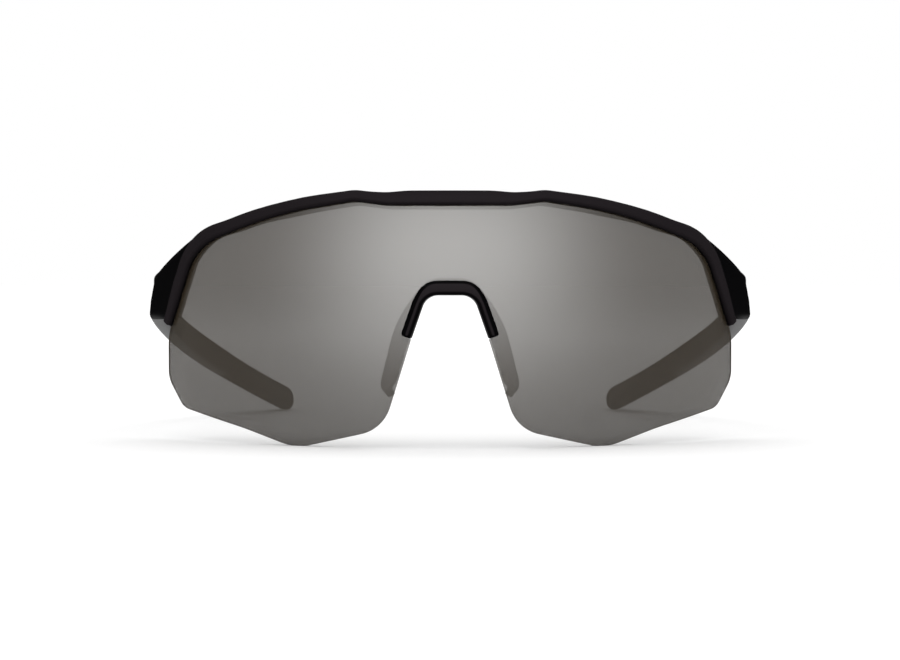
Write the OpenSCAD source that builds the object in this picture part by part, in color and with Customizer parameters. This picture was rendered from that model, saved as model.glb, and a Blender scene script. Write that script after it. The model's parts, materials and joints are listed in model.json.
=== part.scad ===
// Half-rim shield sunglasses with folding temples.
// The glasses stand as they rest on a table with the temples open: on the two
// lower lobes of the lens and on the temple tips. +Z is up, -Y is the front and
// the origin is the middle of the footprint.

/* [Lens] */
// Width of the shield lens
lens_w = 131.8; // [126:0.2:138]
// Height of the lens's top edge at the middle
lens_h = 55.6; // [54:0.2:58]
// Thickness of the lens
lens_t = 1.8; // [1.4:0.1:2.2]
// Radius of the lens's front in plan
wrap_r = 80; // [78:1:90]
// Radius of the lens's front in side view
rise_r = 120; // [100:5:160]
// Height at which the lens stands furthest forward
belly_z = 30; // [26:1:34]
// Distance between the lowest points of the two lobes
lobe_gap = 69.8; // [64:0.2:74]

/* [Nose] */
// Height of the top of the nose notch in the lens
notch_h = 35; // [33:0.5:36]
// Half the width of the notch at its top corner
notch_top = 5.9; // [5.4:0.1:6.4]
// Half the width of the notch at its foot
notch_foot = 14.9; // [14:0.1:16]
// How far the nose clip laps over the lens at the bridge
clip_lap = 2.35; // [1.8:0.05:2.6]
// How far its legs lap over the lens
leg_lap = 1.45; // [1.2:0.05:1.8]
// Wall of the nose clip inside the notch
clip_wall = 0.85; // [0.7:0.05:1]
// Thickness of the rubber nose pad
pad_t = 1.9; // [1.5:0.1:2.4]
// How deep the nose pad reaches back from the lens
pad_reach = 9; // [7:0.5:11]
// Height of the lower end of the nose pad
pad_low = 12; // [10:0.5:14]

/* [Brow frame] */
// How far the front lip of the brow frame laps over the lens
front_lip = 1.65; // [1.2:0.05:2]
// How far its rear lip laps over the lens at the middle
rear_lip = 2; // [1.7:0.1:2.4]
// How far its rear lip laps over the lens at the sides
side_lip = 0.5; // [0.4:0.1:1.4]
// Wall of the brow frame in front of the lens groove
front_wall = 1.45; // [1.1:0.05:1.8]
// Wall of the brow frame behind the lens groove
rear_wall = 1.3; // [1:0.05:1.7]
// Height at which each side of the brow frame ends
rim_end_z = 27.6; // [26:0.2:30]

/* [Hinge] */
// Width over the two hinges
hinge_w = 143.8; // [140:0.5:146]
// Distance of the hinge pin behind the lens's side edge
hinge_back = 12.5; // [11:0.5:15]
// Radius of the hinge barrel
barrel_r = 1.55; // [1.4:0.05:1.7]
// Radius of the hinge screw's shank
shank_r = 0.7; // [0.6:0.05:0.8]
// Height of the middle knuckle
knuckle_h = 3.2; // [2.6:0.1:3.8]
// Height of each outer knuckle
ear_h = 2.3; // [2:0.1:2.6]
// Thickness of the hinge leaves
leaf_t = 0.9; // [0.7:0.1:1.1]

/* [Temples] */
// Length of a temple from the hinge pin to the end of its tip
temple_l = 119; // [112:1:124]
// Radius of a temple in plan
temple_r = 282; // [270:2:340]
// Thickness of a temple at the hinge
temple_t = 3.6; // [3.2:0.1:4.2]
// Height of a temple at the hinge
temple_h = 12.2; // [11.4:0.2:14]
// How far the top of an endpiece leans in
lean = 2; // [1.2:0.1:2.6]
// Thickness of the arm
arm_t = 3.2; // [2.8:0.1:3.6]
// Height of the arm
arm_h = 6.8; // [6:0.1:7.4]
// Length of the rubber tip
tip_l = 46; // [36:1:54]
// Thickness of the rubber tip
tip_t = 4.6; // [4.4:0.1:5.2]
// Height of the rubber tip
tip_h = 6; // [5.6:0.1:6.8]

/* [Hidden] */
arc_step = 6;
fit = 0.12;
half_w = lens_w / 2;
lobe_x = lobe_gap / 2;
mid_t = lens_t / 2;
groove = mid_t + fit;
leg_z = 24.7;

// ---- vectors
function unit(v) = v / norm(v);
function mix(a, b, t) = a + (b - a) * t;
function ease(t) = t <= 0 ? 0 : t >= 1 ? 1 : t * t * (3 - 2 * t);
function flip(p) = [-p[0], p[1], p[2]];
function bezier(a, b, c, d, t) =
  pow(1 - t, 3) * a + 3 * pow(1 - t, 2) * t * b + 3 * (1 - t) * t * t * c + pow(t, 3) * d;

// A table read with an eased step between its rows, so that profiles have no kinks.
function eased(table, s, i = 0) =
  s <= table[i][0] || i == len(table) - 1 ? table[i][1]
  : s < table[i + 1][0]
    ? mix(table[i][1], table[i + 1][1], ease((s - table[i][0]) / (table[i + 1][0] - table[i][0])))
  : eased(table, s, i + 1);

// ---- outlines: corners are [x, z, radius]
function arc_points(a, b, c, r) =
  let (
    u = unit(a - b), v = unit(c - b),
    half = acos(max(-1, min(1, u * v))) / 2,
    centre = b + unit(u + v) * r / sin(half),
    p = b + u * r / tan(half) - centre,
    q = b + v * r / tan(half) - centre,
    turn = atan2(p[0] * q[1] - p[1] * q[0], p * q),
    start = atan2(p[1], p[0]),
    n = max(1, ceil(abs(turn) / arc_step))
  ) [for (i = [0:n]) centre + r * [cos(start + turn * i / n), sin(start + turn * i / n)]];
function flat2(p) = [p[0], p[1]];
function rounded(path) = [
  for (i = [0:len(path) - 1])
    each i == 0 || i == len(path) - 1 || path[i][2] == 0
      ? [flat2(path[i])]
      : arc_points(flat2(path[i - 1]), flat2(path[i]), flat2(path[i + 1]), path[i][2])
];

// ---- walking along a polyline
function lengths(path, i = 0, sum = 0) =
  i == len(path) - 1 ? [sum] : concat([sum], lengths(path, i + 1, sum + norm(path[i + 1] - path[i])));
function walk(path, sums, s, i = 0) =
  i >= len(path) - 2 || s <= sums[i + 1]
    ? mix(path[i], path[i + 1], (s - sums[i]) / (sums[i + 1] - sums[i]))
    : walk(path, sums, s, i + 1);

// ---- the lens's surface, which is part of a torus
// y at a place in the front view, off being the distance outside the middle of the lens
function lens_y(x, z, off = 0) =
  wrap_r - sqrt(
    pow(wrap_r - rise_r + sqrt(pow(rise_r - mid_t + off, 2) - pow(z - belly_z, 2)), 2) - x * x
  );
function on_lens(p) = [p[0], lens_y(p[0], p[1]), p[1]];
function lens_normal(p) =
  let (
    e = unit([p[0], lens_y(p[0], p[1]) - wrap_r]),
    s = (p[1] - belly_z) / (rise_r - mid_t),
    c = sqrt(1 - s * s)
  ) [e[0] * c, e[1] * c, s];

// A solid through a list of rings. All rings have the same even number of points.
// The ends are closed by strips between opposite points, which also suits a ring shaped like a U.
function cap(first, n) = [
  for (i = [0:n / 2 - 2])
    let (a = first + i, b = first + n - 1 - i)
      each [[a, a + 1, b - 1], [a, b - 1, b]]
];
function turned(faces) = [for (f = faces) [f[0], f[2], f[1]]];
function total(v, i = 0) = i == len(v) - 1 ? v[i] : v[i] + total(v, i + 1);
function area_way(r) = total([for (i = [0:len(r) - 1]) cross(r[i] - r[0], r[(i + 1) % len(r)] - r[0])]);
module skin(rings) {
  n = len(rings[0]);
  last = (len(rings) - 1) * n;
  ahead = total(rings[1]) - total(rings[0]);
  sides = [
    for (i = [0:len(rings) - 2], k = [0:n - 1])
      let (a = i * n + k, b = i * n + (k + 1) % n)
        each [[a, b, b + n], [a, b + n, a + n]]
  ];
  faces = concat(sides, turned(cap(0, n)), cap(last, n));
  polyhedron(points = [for (r = rings) each r], faces = area_way(rings[0]) * ahead > 0 ? turned(faces) : faces);
}

// ---- the lens outline, from the middle of the top edge round to the notch
lens_half = [
  [0, lens_h, 0],
  [13.5, lens_h, 20],
  [20.8, lens_h + 0.95, 9],
  [38, lens_h - 1.6, 90],
  [half_w - 7.6, lens_h - 9.2, 14],
  [half_w, 24.5, 15],
  [half_w + 0.15, 14.2, 7],
  [half_w - 3.7, 7.6, 3.5],
  [lobe_x + 12, 3.55, 60],
  [lobe_x, -0.55, 12],
  [notch_foot, 4.2, 9],
  [notch_foot - 6.3, leg_z - 0.3, 0.3],
  [notch_foot - 5.4, leg_z, 0.3],
  [notch_top, notch_h, 4.6],
  [0, notch_h, 0]
];
lens_edge = rounded(lens_half);
edge_sums = lengths(lens_edge);

module lens_outline() {
  polygon(concat(lens_edge, [for (i = [len(lens_edge) - 2:-1:1]) [-lens_edge[i][0], lens_edge[i][1]]]));
}
module lens_profile(off) {
  intersection() {
    translate([wrap_r - rise_r, belly_z]) circle(r = rise_r - mid_t + off, $fn = 240);
    translate([20, -20]) square([wrap_r, 2 * lens_h]);
  }
}
module lens_shell(half_t) {
  intersection() {
    translate([0, wrap_r, 0])
      rotate_extrude($fn = 240)
        difference() {
          lens_profile(half_t);
          lens_profile(-half_t);
        }
    rotate([90, 0, 0])
      translate([0, 0, -wrap_r])
        linear_extrude(height = wrap_r + 10)
          children();
  }
}
module shield_lens() {
  color([0.42, 0.41, 0.38, 0.6])
    lens_shell(mid_t)
      intersection() {
        lens_outline();
        translate([-lens_w, 0]) square([2 * lens_w, 2 * lens_h]);
      }
}
// the room that the lens takes in what holds it
// ---- places along the top and side edge, s being the distance from the middle
function edge_at(s) =
  let (p = walk(lens_edge, edge_sums, abs(s))) [s < 0 ? -p[0] : p[0], p[1]];
// the first distance along the edge at which it has come down to height z
function edge_down_to(z, i = 1) =
  lens_edge[i][1] <= z
    ? mix(edge_sums[i - 1], edge_sums[i], (lens_edge[i - 1][1] - z) / (lens_edge[i - 1][1] - lens_edge[i][1]))
    : edge_down_to(z, i + 1);
// a point beside the edge: b outside it along the lens's surface, n in front of the lens
function beside(s, b, n) =
  let (
    p = edge_at(s),
    normal = lens_normal(p),
    along = unit(on_lens(edge_at(s + 0.8)) - on_lens(edge_at(s - 0.8)))
  ) on_lens(p) + cross(normal, along) * b + normal * n;

// ---- brow frame
rim_end = edge_down_to(rim_end_z);
end_top = edge_down_to(lens_h - 8);
front_n = groove + front_wall;
rear_n = -groove - rear_wall;
function rim_out(s) = eased([[0.1, 1.5], [0.24, 0.75], [0.43, 1], [0.655, 1.3], [1, 1.4]], abs(s) / rim_end);
function rim_back(s) =
  eased([[0.43, rear_lip], [0.63, mix(rear_lip, side_lip, 0.3)], [0.78, side_lip]], abs(s) / rim_end);
// the lens's edge runs straight back, so the groove's floor slants across the rim
function slant(s) =
  -groove * (beside(s, 1, 0) - beside(s, 0, 0))[1] / (beside(s, 0, 1) - beside(s, 0, 0))[1];
// the groove with some of the wall round it, so that an endpiece stays clear of the lens
function groove_ring(s) =
  let (m = 0.45)
    [
      beside(s, -6, groove + m),
      beside(s, 2 * fit - slant(s) + m, groove + m),
      beside(s, 2 * fit + slant(s) + m, -groove - m),
      beside(s, -6, -groove - m)
    ];
function rim_ring(s) =
  let (
    out = rim_out(s),
    back = rim_back(s),
    stout = eased([[0.605, 0], [0.755, 0.9]], abs(s) / rim_end),
    floor_back = 2 * fit + slant(s),
    floor_front = 2 * fit - slant(s),
    section = [
      [-front_lip, groove + 0.2],
      [-front_lip + 0.2, groove + 0.45],
      [-front_lip + 0.85, front_n - 0.1],
      [-0.2, front_n],
      [out - 0.9, front_n - 0.08],
      [out - 0.25, front_n - 0.5],
      [out, front_n - 1.15],
      [out + stout, -0.3],
      [out + stout, rear_n + 0.7],
      [out + stout - 0.6, rear_n],
      [-back + 0.35, rear_n],
      [-back, rear_n + 0.35],
      [-back, -groove],
      [-back + 0.35, -groove],
      [floor_back - 0.1, -groove],
      [floor_back, -groove],
      [mix(floor_back, floor_front, 0.35), -groove * 0.3],
      [mix(floor_back, floor_front, 0.65), groove * 0.3],
      [floor_front, groove],
      [floor_front - 0.1, groove],
      [floor_front - 0.2, groove],
      [floor_front - 0.3, groove],
      [-front_lip + 0.15, groove],
      [-front_lip, groove]
    ]
  ) [for (q = section) beside(s, q[0], q[1])];

// ---- hinge place
pin_y = lens_y(half_w, rim_end_z) + hinge_back;
barrel_gap = 0.25;
face_x = hinge_w / 2 - temple_t;
pin_x = face_x - barrel_r - barrel_gap;
joint_gap = 0.1;
temple_foot = rim_end_z + 0.3;
pin_z = temple_foot + temple_h / 2;
low_end = beside(rim_end - 0.15, 0.1, rear_n + 0.3);
end_turn = floor(atan2(face_x - low_end[0], pin_y - low_end[1]));

// the endpiece between the rim and the temple, as rings from the rim back to the hinge
function end_ring(w) =
  let (
    n = 8,
    outer = [
      for (i = [0:n])
        let (
          t = i / n,
          round_off = (i == 0 || i == n) ? 1.1 : 0,
          a = beside(mix(end_top, rim_end - 0.15, t), rim_out(rim_end) - 0.25 - round_off * 0.3, front_n - 1.3),
          z = mix(temple_foot + temple_h, temple_foot, t),
          b = [hinge_w / 2 - lean * pow(max(0, 1 - 2 * t), 2) - round_off, pin_y - joint_gap, z]
        ) mix(a, b, w)
    ],
    inner = [
      for (i = [n:-1:0])
        let (
          t = i / n,
          a = beside(mix(end_top, rim_end - 0.15, t), 0.1, rear_n + 0.3),
          z = mix(temple_foot + temple_h, temple_foot, t),
          b = [face_x - 0.6, pin_y - joint_gap, z]
        ) mix(a, b, w)
    ]
  ) concat(outer, inner);

module hinge_spot() {
  translate([pin_x, pin_y, pin_z]) children();
}
// the inside of an endpiece is flat where the hinge leaf lies on it
module end_flat() {
  hinge_spot()
    rotate([0, 0, -end_turn])
      translate([barrel_r + barrel_gap - 20, -leaf_l - 2, -temple_h])
        cube([20, leaf_l + 6, 2 * temple_h]);
}
module brow_frame() {
  step = rim_end / 42;
  color([0.06, 0.06, 0.065])
    resize([0, 0, 0])
      difference() {
        union() {
          skin([for (i = [-42:42]) rim_ring(i * step)]);
          for (side = [1, -1])
            scale([side, 1, 1])
              difference() {
                skin([for (w = [0:0.2:1]) end_ring(w)]);
                skin([for (i = [-4:24]) groove_ring(mix(end_top, rim_end, i / 20))]);
                end_flat();
              }
        }
        for (side = [1, -1])
          scale([side, 1, 1])
            hinge_spot()
              rotate([0, 0, -end_turn])
                leaf_holes(-1, 12);
      }
}

// ---- hinge
leaf_l = 8.6;
leaf_h = 7.6;
play = 0.3;
ear_z = knuckle_h / 2 + play;
hinge_top = ear_z + ear_h;
bore_r = shank_r + 0.05;
hole_r = 0.5;
// the two leaf screws, along a leaf that runs back (way 1) or forward (way -1) from the pin
module leaf_holes(way, facets) {
  for (z = [-2.1, 2.1])
    translate([barrel_r + barrel_gap - leaf_t - 0.1, way * (leaf_l - 2.4), z])
      rotate([0, 90, 0])
        cylinder(r = hole_r + 0.05, h = leaf_t + 1.4, $fn = facets);
}
module leaf_plate(way) {
  translate([barrel_r + barrel_gap - leaf_t, way > 0 ? 0.3 : -leaf_l, -leaf_h / 2])
    cube([leaf_t, leaf_l - 0.3, leaf_h]);
}
module leaf_sinks(way) {
  for (z = [-2.1, 2.1])
    translate([barrel_r + barrel_gap - leaf_t - 0.01, way * (leaf_l - 2.4), z])
      rotate([0, 90, 0])
        cylinder(r1 = hole_r + 0.45, r2 = hole_r + 0.04, h = 0.46, $fn = 32);
}
module front_leaf() {
  difference() {
    union() {
      rotate([0, 0, -end_turn]) leaf_plate(-1);
      for (z = [-hinge_top, ear_z])
        translate([0, 0, z]) cylinder(r = barrel_r, h = ear_h, $fn = 48);
      for (z = [-hinge_top, ear_z])
        rotate([0, 0, -end_turn])
          translate([barrel_r + barrel_gap - leaf_t, -2.5, z])
            cube([leaf_t, 2.2, ear_h]);
    }
    translate([0, 0, -ear_z]) cylinder(r = barrel_r + 0.2, h = 2 * ear_z, $fn = 48);
    translate([0, 0, -hinge_top - 1]) cylinder(r = bore_r, h = 2 * hinge_top + 2, $fn = 48);
    rotate([0, 0, -end_turn]) {
      leaf_holes(-1, 32);
      leaf_sinks(-1);
    }
  }
}
module temple_leaf() {
  difference() {
    union() {
      leaf_plate(1);
      translate([0, 0, -knuckle_h / 2]) cylinder(r = barrel_r, h = knuckle_h, $fn = 48);
      translate([barrel_r + barrel_gap - leaf_t, 0.3, -knuckle_h / 2]) cube([leaf_t, 2.2, knuckle_h]);
    }
    for (z = [-hinge_top - 0.5, knuckle_h / 2])
      translate([0, 0, z]) cylinder(r = barrel_r + 0.2, h = hinge_top + 0.5 - knuckle_h / 2, $fn = 48);
    translate([0, 0, -knuckle_h]) cylinder(r = bore_r, h = 2 * knuckle_h, $fn = 48);
    leaf_holes(1, 32);
    leaf_sinks(1);
  }
}
module leaf_screws(way) {
  for (z = [-2.1, 2.1])
    translate([barrel_r + barrel_gap - leaf_t + 0.03, way * (leaf_l - 2.4), z])
      rotate([0, 90, 0])
        difference() {
          union() {
            cylinder(r1 = hole_r + 0.4, r2 = hole_r, h = 0.4, $fn = 32);
            translate([0, 0, 0.4]) cylinder(r = hole_r, h = leaf_t + 0.7, $fn = 32);
          }
          translate([-0.13, -1, -0.1]) cube([0.26, 2, 0.3]);
        }
}
module front_leaf_screws() {
  rotate([0, 0, -end_turn]) leaf_screws(-1);
}
module hinge_screw() {
  difference() {
    union() {
      translate([0, 0, -hinge_top]) cylinder(r = shank_r, h = 2 * hinge_top + 0.2, $fn = 48);
      translate([0, 0, hinge_top + 0.03]) cylinder(r = 1.2, h = 0.5, $fn = 48);
      translate([0, 0, hinge_top + 0.53]) cylinder(r1 = 1.2, r2 = 0.85, h = 0.3, $fn = 48);
    }
    translate([-1.5, -0.16, hinge_top + 0.43]) cube([3, 0.32, 1]);
  }
}
module hinge_washers() {
  for (z = [-ear_z + 0.025, knuckle_h / 2 + 0.025])
    translate([0, 0, z])
      difference() {
        cylinder(r = barrel_r - 0.1, h = play - 0.05, $fn = 48);
        translate([0, 0, -0.5]) cylinder(r = bore_r + 0.02, h = 1.5, $fn = 48);
      }
}

// ---- temples: places along a temple, l being the distance from the hinge pin
arm_x = hinge_w / 2 - temple_t / 2;
sleeve_from = temple_l - tip_l;
function temple_heading(l) = l / temple_r * 180 / PI;
function temple_height(l) =
  eased([[2, temple_h], [0.2 * temple_l, arm_h], [0.5 * temple_l, arm_h], [temple_l - 8, tip_h]], l);
function temple_thick(l) = eased([[8, temple_t], [30, arm_t], [sleeve_from, arm_t], [temple_l - 12, tip_t]], l);
function temple_low(l) = temple_foot - 0.19 * l - 1.6 * pow(max(0, l - 50) / 60, 2);
// a ring of a temple, grown outward by g, its end rounded over the last bit before l_end
function temple_ring_raw(l, g, l_end) =
  let (
    nose = temple_height(l_end) / 2 + g,
    q = max(0, (l - l_end + nose) / nose),
    shrink = sqrt(max(0.03, 1 - q * q)),
    a = temple_heading(l),
    h = (temple_height(l) / 2 + g) * shrink,
    t = (temple_thick(l) / 2 + g) * mix(1, shrink, 0.6),
    c = min(h, t) * mix(0.55, 0.9, ease((l - 0.5 * temple_l) / (0.3 * temple_l))),
    mid = [
      arm_x - temple_r * (1 - cos(a)),
      pin_y + temple_r * sin(a),
      temple_low(l) + temple_height(l) / 2
    ],
    out = [cos(a), sin(a), 0],
    up = [0, 0, 1],
    tilt = lean * (1 - ease(l / temple_l / 0.2)),
    section = [
      [-t, h - c], [-t + 0.3 * c, h - 0.3 * c], [-t + c, h],
      [t - c - tilt, h], [t - 0.3 * c - tilt * 0.9, h - 0.3 * c], [t - tilt * 0.7, h - c],
      [t - tilt * 0.25, (h - c) * 0.6], [t, 0],
      [t, c - h], [t - 0.3 * c, 0.3 * c - h], [t - c, -h],
      [c - t, -h], [0.3 * c - t, 0.3 * c - h], [-t, c - h]
    ]
  ) [for (p = section) mid + out * p[0] + up * p[1]];
// the temples are raked so that their tips just reach the table
tip_stations = concat(
  [for (i = [0:8]) mix(sleeve_from, temple_l - 4, i / 8)],
  [for (q = [0.3, 0.5, 0.7, 0.83, 0.93, 1]) temple_l - (1 - q) * temple_height(temple_l) / 2]
);
raw_tip = [for (l = tip_stations) temple_ring_raw(l, 0, temple_l)];
rake = min([for (r = raw_tip, p = r) p[2] / (p[1] - pin_y)]);
function raked(ring) = [for (p = ring) [p[0], p[1], p[2] - rake * max(0, p[1] - pin_y)]];
function temple_ring(l, g = 0, l_end = temple_l) = raked(temple_ring_raw(l, g, l_end));

core_g = -0.95;
module temple_inside() {
  hinge_spot()
    translate([barrel_r + barrel_gap - 10, -1, -temple_h])
      cube([10, leaf_l + 2, 2 * temple_h]);
}
module temple() {
  color([0.06, 0.06, 0.065])
    resize([0, 0, 0])
      difference() {
        union() {
          skin([for (i = [0:30]) temple_ring(mix(joint_gap, sleeve_from - 0.05, i / 30))]);
          skin([
            for (i = [0:10])
              temple_ring(mix(sleeve_from - 2, temple_l - 6, i / 10), core_g, temple_l - 6)
          ]);
        }
        temple_inside();
        hinge_spot() leaf_holes(1, 12);
      }
}
module temple_tip() {
  color([0.09, 0.09, 0.095])
    resize([0, 0, 0])
      difference() {
        skin([for (l = tip_stations) temple_ring(l)]);
        skin([
          for (i = [0:10])
            temple_ring(mix(sleeve_from - 2, temple_l - 5.8, i / 10), core_g + 0.1, temple_l - 5.8)
        ]);
      }
}

// ---- nose clip: a channel along the notch, s being the distance from its top
notch_path = rounded([
  [0, notch_h, 0],
  [notch_top, notch_h, 4.6],
  [notch_foot - 5.4, leg_z, 0],
  [notch_foot + 0.9, 4.2, 0]
]);
notch_sums = lengths(notch_path);
function notch_at(s) =
  let (p = walk(notch_path, notch_sums, abs(s))) [s < 0 ? -p[0] : p[0], p[1]];
// b inside the notch, n in front of the lens
function in_notch(s, b, n) =
  let (
    p = notch_at(s),
    normal = lens_normal(p),
    along = unit(on_lens(notch_at(s + 0.6)) - on_lens(notch_at(s - 0.6)))
  ) on_lens(p) - cross(normal, along) * b + normal * n;
function notch_down_to(z, i = 1) =
  notch_path[i][1] <= z
    ? mix(notch_sums[i - 1], notch_sums[i], (notch_path[i - 1][1] - z) / (notch_path[i - 1][1] - notch_path[i][1]))
    : notch_down_to(z, i + 1);
clip_end = notch_down_to(leg_z + fit + 0.05);
function notch_slant(s) =
  -groove * (in_notch(s, 1, 0) - in_notch(s, 0, 0))[1] / (in_notch(s, 0, 1) - in_notch(s, 0, 0))[1];
function clip_ring(s) =
  let (
    q = max(0, (abs(s) - clip_end + 0.7) / 0.7),
    low = 0.45 * q * q,
    lap = eased([[0.2, clip_lap], [0.5, leg_lap]], abs(s) / clip_end) - low * 0.6,
    bevel = eased([[0.2, 0.75], [0.5, 0.95]], abs(s) / clip_end),
    front = groove + 1.2 - low,
    rear = -groove - 0.85,
    floor_back = fit + notch_slant(s),
    floor_front = fit - notch_slant(s),
    section = [
      [-lap, groove + 0.3],
      [-lap + bevel, front],
      [0, front - 0.15],
      [clip_wall - 0.3, front - 0.35],
      [clip_wall, front - 0.7],
      [clip_wall, rear + 0.4],
      [clip_wall - 0.35, rear],
      [-1.3, rear],
      [-1.3, -groove],
      [floor_back - 0.15, -groove],
      [floor_back, -groove],
      [floor_front, groove],
      [floor_front - 0.15, groove],
      [floor_front - 0.3, groove],
      [-lap + bevel, groove],
      [-lap, groove]
    ]
  ) [for (p = section) in_notch(s, p[0], p[1])];
module nose_clip() {
  n = 22;
  ends = [for (e = [0.7, 0.45, 0.2, 0]) clip_end - e];
  stations = [for (i = [-n:n]) i * (clip_end - 0.8) / n];
  color([0.05, 0.05, 0.055])
    skin([
      for (e = [0:3]) clip_ring(-ends[3 - e]),
      for (s = stations) clip_ring(s),
      for (e = [0:3]) clip_ring(ends[e])
    ]);
}

// ---- nose pad: a soft saddle behind the notch, from its front edge out to its rear edge
pad_rear_path = rounded([
  [0, notch_h + 2.3, 0],
  [notch_top - 1.4, notch_h + 2.3, 5],
  [notch_top + 5.7, notch_h - 6.6, 25],
  [notch_foot + 0.8, pad_low - 0.2, 2.6],
  [notch_foot - 2.4, pad_low - 0.2, 0]
]);
pad_rear_sums = lengths(pad_rear_path);
function pad_rear_at(u) =
  let (p = walk(pad_rear_path, pad_rear_sums, abs(u) * pad_rear_sums[len(pad_rear_sums) - 1]))
    [u < 0 ? -p[0] : p[0], p[1]];
pad_front_end = notch_down_to(pad_low - 0.3);
pad_n = -groove - 0.85 - 0.4;
function pad_front(u) = in_notch(u * pad_front_end, -0.35, pad_n);
function pad_rear(u) =
  let (p = pad_rear_at(u)) [p[0], lens_y(p[0], p[1], -mid_t) + pad_reach * (0.75 + 0.25 * abs(u)), p[1]];
function pad_ring(u) =
  let (
    f = pad_front(u),
    r = pad_rear(u),
    mid = (f + r) / 2,
    along = (pad_front(u + 0.02) + pad_rear(u + 0.02)) / 2 - (pad_front(u - 0.02) + pad_rear(u - 0.02)) / 2,
    m = unit(cross(unit(along), unit(r - f))) * pad_t / 2,
    q = max(0, (abs(u) - 0.8) / 0.2),
    shrink = sqrt(max(0.04, 1 - q * q)),
    section = [[0, 0.55], [0.1, 0.95], [0.5, 1], [0.9, 0.95], [1, 0.5]]
  ) concat(
    [for (c = section) mid + (f + (r - f) * c[0] - mid) * shrink + m * c[1]],
    [for (i = [len(section) - 1:-1:0]) mid + (f + (r - f) * section[i][0] - mid) * shrink - m * section[i][1]]
  );
module nose_pad() {
  n = 18;
  ends = [0.86, 0.9, 0.935, 0.965, 0.987, 1];
  color([0.13, 0.13, 0.14])
    skin([
      for (i = [0:5]) pad_ring(-ends[5 - i]),
      for (i = [-n:n]) pad_ring(i / n * 0.8),
      for (i = [0:5]) pad_ring(ends[i])
    ]);
}

// ---- the whole, moved so that the origin is the middle of the footprint
front_y = min([for (s = [0:0.5:clip_end], p = clip_ring(s)) p[1]]);
back_y = max([for (r = raw_tip, p = r) p[1]]);
module left() {
  mirror([1, 0, 0]) children();
}
module steel() {
  color([0.62, 0.62, 0.64]) hinge_spot() children();
}
translate([0, -(front_y + back_y) / 2, 0]) {
  brow_frame();
  shield_lens();
  nose_clip();
  nose_pad();
  steel() front_leaf();  // right_front_hinge_leaf
  steel() front_leaf_screws();  // right_front_leaf_screws
  steel() hinge_screw();  // right_hinge_screw
  steel() hinge_washers();  // right_hinge_washers
  steel() temple_leaf();  // right_temple_hinge_leaf
  steel() leaf_screws(1);  // right_temple_leaf_screws
  temple();  // right_temple
  temple_tip();  // right_temple_tip
  left() steel() front_leaf();  // left_front_hinge_leaf
  left() steel() front_leaf_screws();  // left_front_leaf_screws
  left() steel() hinge_screw();  // left_hinge_screw
  left() steel() hinge_washers();  // left_hinge_washers
  left() steel() temple_leaf();  // left_temple_hinge_leaf
  left() steel() leaf_screws(1);  // left_temple_leaf_screws
  left() temple();  // left_temple
  left() temple_tip();  // left_temple_tip
}
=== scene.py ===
import json
import math

import bmesh
import bpy
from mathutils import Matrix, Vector


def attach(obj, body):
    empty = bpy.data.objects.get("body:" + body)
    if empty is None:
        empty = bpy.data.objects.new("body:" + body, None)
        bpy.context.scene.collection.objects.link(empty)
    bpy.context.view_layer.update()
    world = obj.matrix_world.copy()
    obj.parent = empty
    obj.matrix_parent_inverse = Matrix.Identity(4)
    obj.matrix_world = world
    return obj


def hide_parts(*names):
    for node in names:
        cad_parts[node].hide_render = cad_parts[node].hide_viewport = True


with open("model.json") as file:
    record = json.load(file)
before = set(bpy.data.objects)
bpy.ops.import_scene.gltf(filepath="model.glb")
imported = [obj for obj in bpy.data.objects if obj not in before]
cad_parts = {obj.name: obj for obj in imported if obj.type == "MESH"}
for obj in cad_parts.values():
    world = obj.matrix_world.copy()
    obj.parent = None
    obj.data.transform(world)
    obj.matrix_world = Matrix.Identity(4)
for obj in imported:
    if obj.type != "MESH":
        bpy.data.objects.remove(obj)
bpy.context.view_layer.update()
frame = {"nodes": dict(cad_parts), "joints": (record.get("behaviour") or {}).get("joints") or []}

# ---- camera: level with the brow, a little above the middle of the lens
camera_data = bpy.data.cameras.new("camera")
camera_data.lens = 108.48
camera = bpy.data.objects.new("camera", camera_data)
camera.location = (0, -0.6818, 0.0415)
camera.rotation_euler = (math.radians(90 - 1.436), 0, 0)
bpy.context.scene.collection.objects.link(camera)
bpy.context.scene.camera = camera
bpy.context.scene.view_settings.view_transform = "Standard"

# ---- sizes of the glasses in millimetres
HALF_W = 65.9
LENS_H = 55.6
MID_T = 0.9
WRAP_R = 80
RISE_R = 120
BELLY_Z = 30
LOBE_X = 34.9
NOTCH_H = 35
NOTCH_TOP = 5.9
NOTCH_FOOT = 14.9
LEG_Z = 24.7
GROOVE = 1.02
FIT = 0.12
FRONT_LIP = 1.8
REAR_LIP = 2
SIDE_LIP = -1
FRONT_WALL = 1.45
REAR_WALL = 1.3
FRONT_N = GROOVE + FRONT_WALL
REAR_N = -GROOVE - REAR_WALL
RIM_END_Z = 27.6
CLIP_LAP = 2.35
LEG_LAP = 1.45
CLIP_WALL = 0.85
PAD_T = 1.9
PAD_REACH = 9
PAD_LOW = 12
HINGE_W = 143.8
HINGE_BACK = 12.5
BARREL_R = 1.55
BARREL_GAP = 0.25
JOINT_GAP = 0.1
TEMPLE_L = 119
TEMPLE_R = 282
TEMPLE_T = 3.6
TEMPLE_H = 12.2
LEAN = 2
ARM_T = 3.2
ARM_H = 7
TIP_L = 46
TIP_T = 4.6
TIP_H = 6.5
MERGE = 0.000002


def mix(a, b, t):
    return a + (b - a) * t


def ease(t):
    t = min(1, max(0, t))
    return t * t * (3 - 2 * t)


def eased(rows, s):
    """A profile read with an eased step between its rows."""
    if s <= rows[0][0]:
        return rows[0][1]
    for (s0, v0), (s1, v1) in zip(rows, rows[1:]):
        if s < s1:
            return mix(v0, v1, ease((s - s0) / (s1 - s0)))
    return rows[-1][1]


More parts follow.
